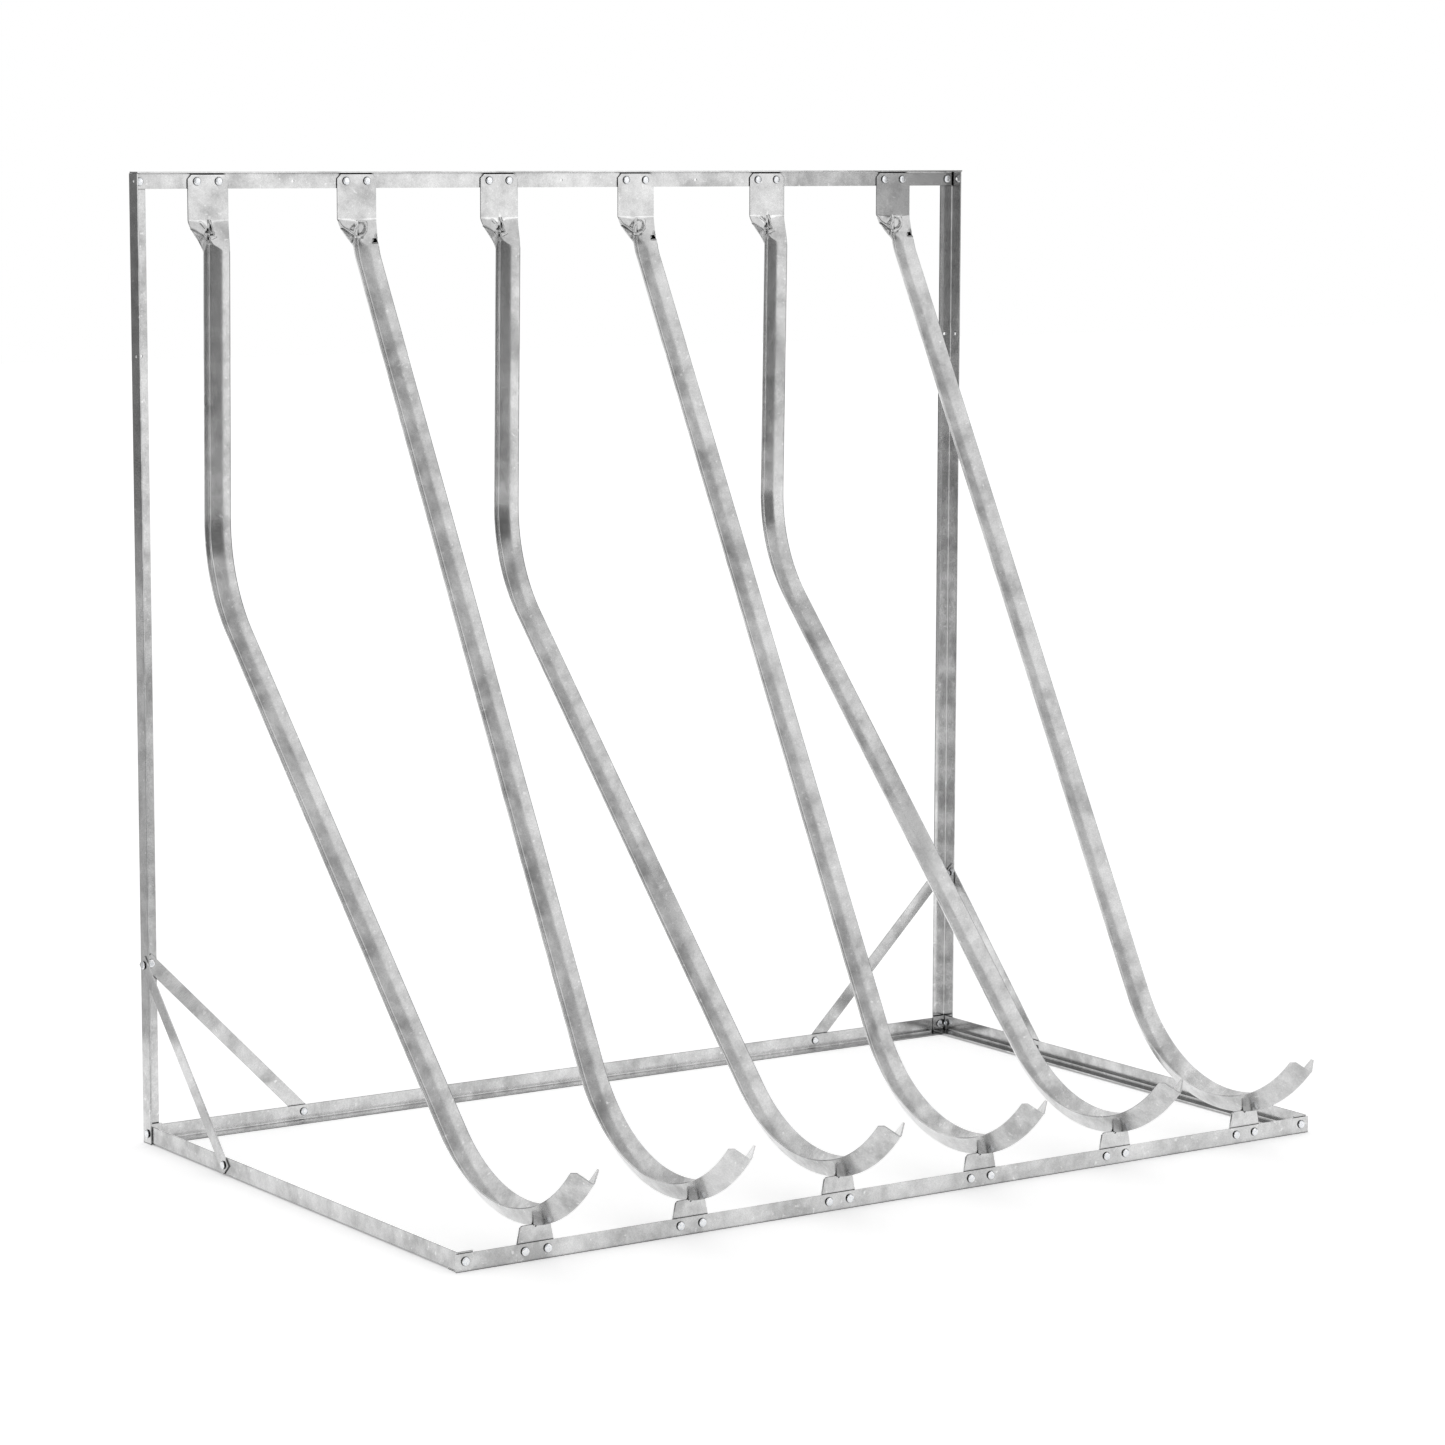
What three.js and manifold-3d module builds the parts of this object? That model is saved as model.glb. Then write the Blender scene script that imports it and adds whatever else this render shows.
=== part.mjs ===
import * as THREE from 'three';
import { mergeVertices } from 'three/addons/utils/BufferGeometryUtils.js';
import Module from 'manifold-3d';

// A six-place bike parking rack of bolted angle steel. Millimetres, +Z up, front towards -Y.

// Frame
const rack_height = 2018;
const base_depth = 1280;
const leg = 35;
const steel = 3;
const root = 3;
const seat = 0.3;

// Bolts and their holes
const bolt_width = 6;
const bolt_play = 1;
const head_width = 16.5;
const head_height = 3.9;
const head_wall = 2.7;
const head_gap = 0.05;
const nut_width = 10;
const nut_height = 5;
const thread_end = 2;
const hole_inset = 20;
const side_rail_lift = 2;
const spare_hole_shares = [-1.93, -0.046, 0.954];
const post_hole_rise = 380;
const post_hole_drop = 375;

// Flat braces in the rear corners
const brace_width = 30;
const brace_end = 13;
const brace_flat = 30;
const rear_brace_run = 358;
const side_brace_run = 338;

// Wheel channels
const channel_count = 6;
const channel_pitch = 350;
const channel_steel = 2.5;
const wing = 46.6;
const wing_angle = 38.5 * Math.PI / 180;
const ridge_radius = 5.5;
const plate_height = 95;
const plate_corner = 9;
const plate_bolts = 50;
const fold_length = 63;
const run_set_back = 12;
const bent_drop = 708;
const bent_radius = 352;
const straight_drop = 131;
const straight_radius = 130;
const hook_radius = 361;
const hook_height = 55;
const hook_reach = 75;
const hook_tip = 46 * Math.PI / 180;
const hook_tail = 26;
const tip_corner = 10;

// Foot plates welded under the channels
const foot_steel = 4;
const foot_bottom = 8;
const foot_bite = 0.8;
const foot_base_width = 80;
const foot_top_width = 66;
const foot_corner = 4;

// How finely the curves are divided
const root_steps = 3;
const bore_steps = 12;
const dome_steps = 3;
const fold_steps = 9;
const bend_steps = 9;
const hook_steps = 30;

const rack_width = channel_count * channel_pitch;
const half_width = rack_width / 2;
const half_depth = base_depth / 2;
const layer = steel + seat;
const post_inset = steel + root + seat;
const hole_width = bolt_width + bolt_play;
const plate_back = half_depth - 2 * layer;
const plate_top = rack_height - post_inset;
const fold_top = plate_top - plate_height;
const top_hole_z = rack_height - hole_inset;
const rail_hole_z = hole_inset;
const side_hole_z = hole_inset + side_rail_lift;
const ridge_round = ridge_radius / Math.sin(wing_angle) - ridge_radius;
const foot_top = foot_bite + ridge_round + hook_height + hook_radius
  - Math.sqrt(hook_radius ** 2 - (hook_reach - layer) ** 2);

const X = new THREE.Vector3(1, 0, 0);
const Y = new THREE.Vector3(0, 1, 0);
const Z = new THREE.Vector3(0, 0, 1);
const back = (v) => v.clone().negate();

const wasm = await Module();
wasm.setup();

const zinc = new THREE.MeshStandardMaterial({ color: 0xb9bcbe, roughness: 0.5, metalness: 0.85 });
const plated = new THREE.MeshStandardMaterial({ color: 0xd4d6d8, roughness: 0.35, metalness: 0.9 });

const rack = new THREE.Group();
rack.name = 'bike_parking_rack';

// Closed geometry to a solid for joining and cutting
function solid(geometry) {
  const bare = geometry.clone();
  bare.deleteAttribute('normal');
  bare.deleteAttribute('uv');
  const merged = mergeVertices(bare);
  return new wasm.Manifold(new wasm.Mesh({
    numProp: 3,
    vertProperties: new Float32Array(merged.attributes.position.array),
    triVerts: new Uint32Array(merged.index.array),
  }));
}

function add(name, body, material) {
  const mesh = body.getMesh();
  const geometry = new THREE.BufferGeometry();
  geometry.setAttribute('position', new THREE.BufferAttribute(new Float32Array(mesh.vertProperties), 3));
  geometry.setIndex(new THREE.BufferAttribute(new Uint32Array(mesh.triVerts), 1));
  geometry.computeVertexNormals();
  const piece = new THREE.Mesh(geometry, material);
  piece.name = name;
  rack.add(piece);
}

// Sets a geometry drawn in u, v, w at a corner; a mirrored setting keeps its faces outward
function place(geometry, u, v, w, corner) {
  const matrix = new THREE.Matrix4().makeBasis(u, v, w).setPosition(corner);
  const merged = mergeVertices(strip(geometry));
  merged.applyMatrix4(matrix);
  if (matrix.determinant() < 0) {
    const index = merged.index.array;
    for (let i = 0; i < index.length; i += 3) [index[i], index[i + 1]] = [index[i + 1], index[i]];
  }
  return merged;
}

function strip(geometry) {
  geometry.deleteAttribute('normal');
  geometry.deleteAttribute('uv');
  return geometry;
}

// Box between two corners
function box(from, to) {
  const size = to.clone().sub(from);
  const middle = from.clone().add(to).multiplyScalar(0.5);
  return solid(new THREE.BoxGeometry(size.x, size.y, size.z).translate(middle.x, middle.y, middle.z));
}

// Equal-leg angle bar: legs along u and v from an outer corner, length along w
function angleBar(u, v, w, corner, length) {
  const shape = new THREE.Shape();
  shape.moveTo(0, 0);
  shape.lineTo(leg, 0);
  shape.lineTo(leg, steel);
  shape.lineTo(steel + root, steel);
  shape.absarc(steel + root, steel + root, root, 1.5 * Math.PI, Math.PI, true);
  shape.lineTo(steel, leg);
  shape.lineTo(0, leg);
  shape.closePath();
  const bar = new THREE.ExtrudeGeometry(shape,
    { depth: length, bevelEnabled: false, curveSegments: root_steps });
  return solid(place(bar, u, v, w, corner));
}

// Drilled hole through the sheet at a point, along an axis
function bore(x, y, z, axis) {
  const drill = new THREE.CylinderGeometry(hole_width / 2, hole_width / 2, 4 * steel, bore_steps);
  const side = axis === Y ? X : Y;
  const up = new THREE.Vector3().crossVectors(side, axis);
  return solid(place(drill, side, axis, up, new THREE.Vector3(x, y, z)));
}

function drill(body, holes) {
  for (const [x, y, z, axis] of holes) body = body.subtract(bore(x, y, z, axis));
  return body;
}

// Button-head bolt and its hexagon nut, from the face under the head along the way it points
function bolt(name, x, y, z, way, grip) {
  const points = [];
  for (let i = 0; i <= dome_steps; i++) {
    const turn = (i / dome_steps) * Math.PI / 2;
    const dome = (head_height - head_wall) * Math.cos(turn);
    points.push(new THREE.Vector2(Math.sin(turn) * head_width / 2, -head_gap - head_wall - dome));
  }
  const nut_from = grip + head_gap;
  const end = nut_from + nut_height + thread_end;
  points.push(new THREE.Vector2(head_width / 2, -head_gap));
  points.push(new THREE.Vector2(bolt_width / 2, -head_gap));
  points.push(new THREE.Vector2(bolt_width / 2, end));
  points.push(new THREE.Vector2(0, end));
  const shank = new THREE.LatheGeometry(points, bore_steps);
  const nut = new THREE.CylinderGeometry(nut_width / Math.sqrt(3), nut_width / Math.sqrt(3), nut_height, 6)
    .translate(0, nut_from + nut_height / 2, 0);
  const side = Math.abs(way.y) > 0 ? X : Y;
  const up = new THREE.Vector3().crossVectors(side, way);
  const seat_point = new THREE.Vector3(x, y, z);
  const parts = [shank, nut].map((piece) => solid(place(piece, side, way, up, seat_point)));
  add(name, parts[0].add(parts[1]), plated);
}

// Rear posts
function post(name, sign) {
  const corner = new THREE.Vector3(sign * half_width, half_depth, 0);
  const bar = angleBar(X.clone().multiplyScalar(-sign), back(Y), Z, corner, rack_height - layer);
  const back_x = sign * (half_width - hole_inset);
  const side_x = sign * half_width;
  const side_y = half_depth - hole_inset;
  const holes = [];
  for (const z of [top_hole_z, rack_height - post_hole_drop, post_hole_rise]) {
    holes.push([back_x, half_depth, z, Y], [side_x, side_y, z, X]);
  }
  holes.push([back_x, half_depth, rail_hole_z, Y], [side_x, side_y, side_hole_z, X]);
  add(name, drill(bar, holes), zinc);
}

// Where the bolts of channel i stand, both sides of its centre
function channelX(i) {
  return (i - (channel_count - 1) / 2) * channel_pitch;
}

function channelBolts() {
  const places = [];
  for (let i = 0; i < channel_count; i++) {
    for (const sign of [-1, 1]) places.push([i, sign, channelX(i) + sign * plate_bolts / 2]);
  }
  return places;
}

// Top rail: upright leg in front of the posts, flat leg forward over their ends
function topRail() {
  const corner = new THREE.Vector3(-half_width, half_depth - layer, rack_height);
  let bar = angleBar(back(Y), back(Z), X, corner, rack_width);
  for (const sign of [-1, 1]) {
    const a = sign * (half_width - post_inset);
    const b = sign * (half_width + steel);
    bar = bar.subtract(box(
      new THREE.Vector3(Math.min(a, b), half_depth - 2 * leg, 0),
      new THREE.Vector3(Math.max(a, b), half_depth, rack_height - steel)));
  }
  const y = half_depth - layer;
  const holes = channelBolts().map(([, , x]) => [x, y, top_hole_z, Y]);
  for (const sign of [-1, 1]) holes.push([sign * (half_width - hole_inset), y, top_hole_z, Y]);
  for (const share of spare_hole_shares) holes.push([share * channel_pitch, y, top_hole_z, Y]);
  add('rail_top', drill(bar, holes), zinc);
}

// Rear rail: upright leg in front of the posts, flat leg forward on the floor
function rearRail() {
  const end = half_width - post_inset;
  const y = half_depth - layer;
  const bar = angleBar(back(Y), Z, X, new THREE.Vector3(-end, y, 0), 2 * end);
  const holes = [];
  for (const sign of [-1, 1]) {
    holes.push([sign * (half_width - hole_inset), y, rail_hole_z, Y]);
    holes.push([sign * (half_width - hole_inset - rear_brace_run), y, rail_hole_z, Y]);
  }
  add('rail_rear', drill(bar, holes), zinc);
}

// Front rail: upright leg to the front, flat leg back on the floor and cut flush with the side rails
function frontRail() {
  let bar = angleBar(Y, Z, X, new THREE.Vector3(-half_width, -half_depth, 0), rack_width);
  for (const sign of [-1, 1]) {
    const a = sign * (half_width - layer);
    const b = sign * (half_width + steel);
    bar = bar.subtract(box(
      new THREE.Vector3(Math.min(a, b), -half_depth + steel, -steel),
      new THREE.Vector3(Math.max(a, b), -half_depth + 2 * leg, leg - steel)));
  }
  const holes = channelBolts().map(([, , x]) => [x, -half_depth, rail_hole_z, Y]);
  for (const sign of [-1, 1]) holes.push([sign * (half_width - hole_inset), -half_depth, rail_hole_z, Y]);
  add('rail_front', drill(bar, holes), zinc);
}

// Side rail: lies on the flat legs of the front and rear rails, with a tab bent in at each end
function sideRail(name, sign) {
  const outer = sign * (half_width - layer);
  const inner = sign * (half_width - layer - leg);
  const rear = half_depth - 2 * layer;
  const front = -half_depth + layer;
  const inward = X.clone().multiplyScalar(-sign);
  let bar = angleBar(inward, Z, Y, new THREE.Vector3(outer, front, layer), rear - front);
  const low = Math.min(outer, inner);
  const high = Math.max(outer, inner);
  for (const [a, b] of [[front, front + steel], [rear - steel, rear]]) {
    bar = bar.add(box(new THREE.Vector3(low, a, layer), new THREE.Vector3(high, b, layer + leg)));
  }
  const cope = root + 2 * seat;
  for (const [a, b] of [[front - seat, front + cope], [rear - cope, rear + seat]]) {
    bar = bar.subtract(box(new THREE.Vector3(low - seat, a, 0), new THREE.Vector3(high + seat, b, layer + root)));
  }
  const side_y = half_depth - hole_inset;
  const tab_x = sign * (half_width - hole_inset);
  add(name, drill(bar, [
    [outer, side_y, side_hole_z, X],
    [outer, side_y - side_brace_run, side_hole_z, X],
    [tab_x, rear, rail_hole_z, Y],
    [tab_x, front, rail_hole_z, Y],
  ]), zinc);
}

// Flat brace from its upper to its lower hole; the bar steps over by one layer between its flat ends
function brace(name, upper, lower, step, limit) {
  const along = lower.clone().sub(upper);
  const length = along.length();
  along.normalize();
  const out = step.clone().normalize();
  const across = new THREE.Vector3().crossVectors(along, out);
  const stations = [
    [-brace_end, 0], [brace_flat, 0], [length - brace_flat, step.length()], [length + brace_end, step.length()],
  ];
  const positions = [];
  for (const [s, shift] of stations) {
    for (const [a, o] of [[-1, 0], [1, 0], [1, 1], [-1, 1]]) {
      const point = upper.clone().addScaledVector(along, s)
        .addScaledVector(across, a * brace_width / 2).addScaledVector(out, shift - o * steel);
      positions.push(point.x, point.y, point.z);
    }
  }
  const index = [0, 2, 1, 0, 3, 2];
  for (let i = 0; i < stations.length - 1; i++) {
    for (let k = 0; k < 4; k++) {
      const a = 4 * i + k, b = 4 * i + (k + 1) % 4;
      index.push(a, b, a + 4, b, b + 4, a + 4);
    }
  }
  const e = 4 * (stations.length - 1);
  index.push(e, e + 1, e + 2, e, e + 2, e + 3);
  const geometry = new THREE.BufferGeometry();
  geometry.setAttribute('position', new THREE.BufferAttribute(new Float32Array(positions), 3));
  geometry.setIndex(index);
  const body = solid(geometry).subtract(limit);
  const axis = Math.abs(step.y) > 0 ? Y : X;
  const low_face = lower.clone().add(step);
  const holes = [[upper.x, upper.y, upper.z, axis], [low_face.x, low_face.y, low_face.z, axis]];
  add(name, drill(body, holes), zinc);
}

// Rear braces lie in front of the posts and behind the rear rail
function rearBrace(name, sign) {
  const x = sign * (half_width - hole_inset);
  const upper = new THREE.Vector3(x, half_depth - layer, post_hole_rise);
  const lower = new THREE.Vector3(x - sign * rear_brace_run, half_depth - layer, rail_hole_z);
  const edge = sign * (half_width - post_inset);
  const far = sign * (half_width + leg);
  const limit = box(new THREE.Vector3(Math.min(edge, far), half_depth - leg, 0),
    new THREE.Vector3(Math.max(edge, far), half_depth + leg, post_hole_rise + leg));
  brace(name, upper, lower, new THREE.Vector3(0, layer, 0), limit);
}

// Side braces lie outside the posts and outside the side rails
function sideBrace(name, sign) {
  const y = half_depth - hole_inset;
  const upper = new THREE.Vector3(sign * (half_width + seat), y, post_hole_rise);
  const lower = new THREE.Vector3(sign * (half_width + seat), y - side_brace_run, side_hole_z);
  const limit = box(new THREE.Vector3(-rack_width, half_depth, 0),
    new THREE.Vector3(rack_width, half_depth + leg, rack_height));
  brace(name, upper, lower, new THREE.Vector3(-sign * layer, 0, 0), limit);
}

// Ridge line of a channel in the upright plane: where it is after each length, and its slope
function ridgePath(drop, radius, set_back) {
  const start = { y: plate_back + set_back, z: plate_top - drop };
  const lean = -Math.atan2(set_back, fold_top - start.z);
  const bend = { y: start.y - radius * Math.cos(lean), z: start.z + radius * Math.sin(lean) };
  const hook = { y: -half_depth + hook_reach, z: hook_height + hook_radius };
  const dy = bend.y - hook.y, dz = bend.z - hook.z;
  const slope = Math.acos((hook_radius - radius) / Math.hypot(dy, dz)) - Math.atan2(dz, dy);
  const tip = Math.PI / 2 + hook_tip;
  const on = (c, r, turn) => ({ y: c.y + r * Math.cos(turn), z: c.z - r * Math.sin(turn), turn });
  const stations = [
    { y: plate_back, z: plate_top, turn: 0, reach: wing - plate_corner },
    { y: plate_back, z: plate_top - plate_corner, turn: 0 },
    { y: plate_back, z: fold_top, turn: 0 },
  ];
  const run = fold_top - start.z;
  for (let i = 1; i <= fold_steps; i++) {
    const fall = fold_length * i / fold_steps;
    if (fall < run) stations.push({ y: plate_back - Math.tan(lean) * fall, z: fold_top - fall, turn: lean });
  }
  for (let i = 0; i <= bend_steps; i++) {
    stations.push(on(bend, radius, lean + (slope - lean) * i / bend_steps));
  }
  for (let i = 0; i <= hook_steps; i++) {
    stations.push(on(hook, hook_radius, slope + (tip - slope) * i / hook_steps));
  }
  const end = on(hook, hook_radius, tip);
  const tail = (s) => ({ y: end.y - Math.sin(tip) * s, z: end.z - Math.cos(tip) * s, turn: tip });
  stations.push(tail(hook_tail - tip_corner));
  stations.push({ ...tail(hook_tail), reach: wing - tip_corner });
  return stations;
}

// Section of the sheet at one station: flat in the plate, a vee with a rounded ridge below it.
// The blank is as wide everywhere, so the bend's own length sets how far a wing reaches
function section(x, station) {
  const fall = Math.max(fold_top - station.z, 0);
  const share = Math.min(fall / fold_length, 1);
  const folded = (1 - Math.cos(Math.PI * share)) / 2;
  const half = Math.PI / 2 - (Math.PI / 2 - wing_angle) * folded;
  const keep = ridge_radius / Math.tan(wing_angle);
  const arc = keep * Math.tan(half);
  const bent = half < Math.PI / 2 ? (arc - channel_steel / 2) * (Math.PI / 2 - half) : keep;
  const reach = (station.reach ?? wing) + keep - bent;
  const points = [];
  for (const inside of [0, 1]) {
    const t = inside * channel_steel;
    const row = [];
    for (const side of [-1, 1]) {
      for (const r of side < 0 ? [reach, keep] : [keep, reach]) {
        row.push([side * (r * Math.sin(half) - t * Math.cos(half)), r * Math.cos(half) + t * Math.sin(half)]);
      }
    }
    const low = half < Math.PI / 2 ? keep * (1 - Math.sin(half)) / Math.cos(half) : 0;
    row.splice(2, 0, [0, low + t]);
    points.push(...(inside ? row.reverse() : row));
  }
  return points.map(([a, m]) => [
    x + a, station.y - m * Math.cos(station.turn), station.z + m * Math.sin(station.turn)]);
}

function sheet(x, stations) {
  const rings = stations.map((station) => section(x, station));
  const n = rings[0].length;
  const index = [];
  const cap = (base, flip) => {
    for (let k = 0; k < n / 2 - 1; k++) {
      const quad = [n - 1 - k, n - 2 - k, k + 1, k].map((i) => base + i);
      const [a, b, c, d] = flip ? quad.reverse() : quad;
      index.push(a, b, c, a, c, d);
    }
  };
  cap(0, false);
  for (let i = 0; i < rings.length - 1; i++) {
    for (let k = 0; k < n; k++) {
      const a = n * i + k, b = n * i + (k + 1) % n;
      index.push(a, b, a + n, b, b + n, a + n);
    }
  }
  cap(n * (rings.length - 1), true);
  const geometry = new THREE.BufferGeometry();
  geometry.setAttribute('position', new THREE.BufferAttribute(new Float32Array(rings.flat(2)), 3));
  geometry.setIndex(index);
  return solid(geometry);
}

// Foot plate behind the front rail, up to the ridge of the hook
function foot(x) {
  const shape = new THREE.Shape();
  const b = foot_base_width / 2, t = foot_top_width / 2;
  shape.moveTo(-b, foot_bottom);
  shape.lineTo(b, foot_bottom);
  shape.lineTo(b, leg);
  shape.lineTo(t, foot_top - foot_corner);
  shape.quadraticCurveTo(t, foot_top, t - foot_corner, foot_top);
  shape.lineTo(-t + foot_corner, foot_top);
  shape.quadraticCurveTo(-t, foot_top, -t, foot_top - foot_corner);
  shape.lineTo(-b, leg);
  shape.closePath();
  const plate = new THREE.ExtrudeGeometry(shape,
    { depth: foot_steel, bevelEnabled: false, curveSegments: root_steps });
  return solid(place(plate, X, Z, Y, new THREE.Vector3(x, -half_depth + layer, 0)));
}

// Wheel channel with its foot: places 1, 3 and 5 drop first and then slope, the others slope at once
function channel(i) {
  const x = channelX(i);
  const drops = i % 2 === 0;
  const path = drops ? ridgePath(bent_drop, bent_radius, run_set_back)
    : ridgePath(straight_drop, straight_radius, 0);
  const body = sheet(x, path).add(foot(x));
  const holes = [];
  for (const sign of [-1, 1]) {
    const hole_x = x + sign * plate_bolts / 2;
    holes.push([hole_x, plate_back, top_hole_z, Y], [hole_x, -half_depth + layer, rail_hole_z, Y]);
  }
  add('channel_' + (i + 1), drill(body, holes), zinc);
}

for (const [word, sign] of [['left', -1], ['right', 1]]) {
  post('post_' + word, sign);
  sideRail('rail_side_' + word, sign);
  rearBrace('brace_rear_' + word, sign);
  sideBrace('brace_side_' + word, sign);

  const x = sign * (half_width - hole_inset);
  const in_x = X.clone().multiplyScalar(-sign);
  const side_x = sign * half_width;
  const side_y = half_depth - hole_inset;
  const rear_face = half_depth - layer - steel;
  bolt('bolt_top_corner_' + word, x, rear_face, top_hole_z, Y, layer + steel);
  bolt('bolt_rear_corner_' + word, x, rear_face - layer, rail_hole_z, Y, 2 * layer + steel);
  bolt('bolt_side_corner_' + word, side_x, side_y, side_hole_z, in_x, layer + steel);
  bolt('bolt_front_corner_' + word, x, -half_depth, rail_hole_z, Y, layer + steel);
  bolt('bolt_rear_brace_top_' + word, x, rear_face, post_hole_rise, Y, layer + steel);
  bolt('bolt_rear_brace_low_' + word, x - sign * rear_brace_run, rear_face, rail_hole_z, Y, layer + steel);
  bolt('bolt_side_brace_top_' + word, side_x + sign * layer, side_y, post_hole_rise, in_x, layer + steel);
  bolt('bolt_side_brace_low_' + word, side_x, side_y - side_brace_run, side_hole_z, in_x, layer + steel);
}
topRail();
rearRail();
frontRail();
for (let i = 0; i < channel_count; i++) channel(i);
for (const [i, sign, x] of channelBolts()) {
  const tag = (i + 1) + (sign < 0 ? '_left' : '_right');
  bolt('bolt_plate_' + tag, x, plate_back - channel_steel, top_hole_z, Y, channel_steel + layer);
  bolt('bolt_foot_' + tag, x, -half_depth, rail_hole_z, Y, layer + foot_steel);
}

// The origin is the middle of the footprint, on the floor
const bounds = new THREE.Box3().setFromObject(rack);
const middle = bounds.getCenter(new THREE.Vector3());
for (const piece of rack.children) piece.geometry.translate(-middle.x, -middle.y, -bounds.min.z);

export default rack;
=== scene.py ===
import math
import bpy
import bmesh
from mathutils import Matrix, Vector


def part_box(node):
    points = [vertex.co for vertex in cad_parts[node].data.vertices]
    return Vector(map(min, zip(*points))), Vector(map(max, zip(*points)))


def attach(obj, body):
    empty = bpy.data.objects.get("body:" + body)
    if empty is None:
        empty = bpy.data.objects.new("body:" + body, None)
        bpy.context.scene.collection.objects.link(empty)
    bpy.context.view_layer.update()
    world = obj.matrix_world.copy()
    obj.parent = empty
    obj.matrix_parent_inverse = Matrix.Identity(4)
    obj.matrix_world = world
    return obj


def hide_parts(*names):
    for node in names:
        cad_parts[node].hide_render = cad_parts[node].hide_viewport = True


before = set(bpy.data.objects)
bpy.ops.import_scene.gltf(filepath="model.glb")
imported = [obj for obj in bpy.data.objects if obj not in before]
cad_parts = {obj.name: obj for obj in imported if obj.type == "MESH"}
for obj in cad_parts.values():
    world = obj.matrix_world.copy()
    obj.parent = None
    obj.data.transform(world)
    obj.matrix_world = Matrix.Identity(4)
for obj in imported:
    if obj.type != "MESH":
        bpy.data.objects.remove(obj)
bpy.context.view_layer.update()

# Posts and rails: hot-rolled equal angle of mild steel, 35 x 35 x 3 mm, sawn to length, drilled,
# coped or tabbed at the ends and hot-dip galvanised after that. Each bar is a copy of its solid
# with whole faces, the sharp arrises taken off as the zinc coat does.
mm = 0.001
arris = 0.8 * mm
arris_steps = 2
arris_angle = 35
same_point = 0.01 * mm
same_plane = math.radians(1)


def linear(hex_colour):
    """An sRGB hex colour as the linear colour that a node takes."""
    channels = [int(hex_colour[i:i + 2], 16) / 255 for i in (1, 3, 5)]
    return [c / 12.92 if c < 0.04045 else ((c + 0.055) / 1.055) ** 2.4 for c in channels] + [1]


def add_node(tree, kind, settings=(), links=(), stops=()):
    """One node of a material or world: settings and socket values, incoming links, and ramp stops."""
    new = tree.nodes.new(kind)
    for name, value in dict(settings).items():
        if isinstance(name, int) or name in new.inputs:
            new.inputs[name].default_value = value
        else:
            setattr(new, name, value)
    for socket, source in dict(links).items():
        tree.links.new(source, new.inputs[socket])
    for number, (place, colour) in enumerate(stops):
        elements = new.color_ramp.elements
        element = elements[number] if number < 2 else elements.new(place)
        element.position = place
        element.color = colour if isinstance(colour, list) else (colour, colour, colour, 1)
    return new


# Hot-dip galvanised steel: the zinc freezes to a bright but cloudy grey metal, with soft patches a few
# centimetres wide, a fine grain of crystals and grit, and small white drips and specks. The grit is drawn
# coarser than the real one, so that it shows. Painted shade takes the colour nearly to black where another
# surface comes within a few millimetres.
zinc_pale, zinc_mid, zinc_dark = "#E4E4E4", "#D4D4D4", "#B8B8B8"
zinc_speck = "#F6F6F6"
cloud_size = 40 * mm
drift_size = 150 * mm
drift_share = 0.45
dark_patch, mid_patch, pale_patch = 0.37, 0.5, 0.63
spangle_size = 7 * mm
spangle_shade = 0.93
grit_size = 3 * mm
grit_shade = 0.9
noise_low, noise_high = 0.35, 0.65
speck_size = 9 * mm
speck_start, speck_full, speck_strength = 0.66, 0.8, 0.6
zinc_roughness = 0.16
duller, brighter = 0.04, 0.03
# Painted shade: within this reach, ambient occlusion takes the colour down nearly to black in corners, gaps
# and joints.
painted_crevice_shade_reach = 6 * mm
painted_crevice_shade_closed, painted_crevice_shade_open, painted_crevice_shade_darkest = 0.5, 0.78, 0.02
shade_samples = 8
multiply = {"data_type": "RGBA", "blend_type": "MULTIPLY", 0: 1}


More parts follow.
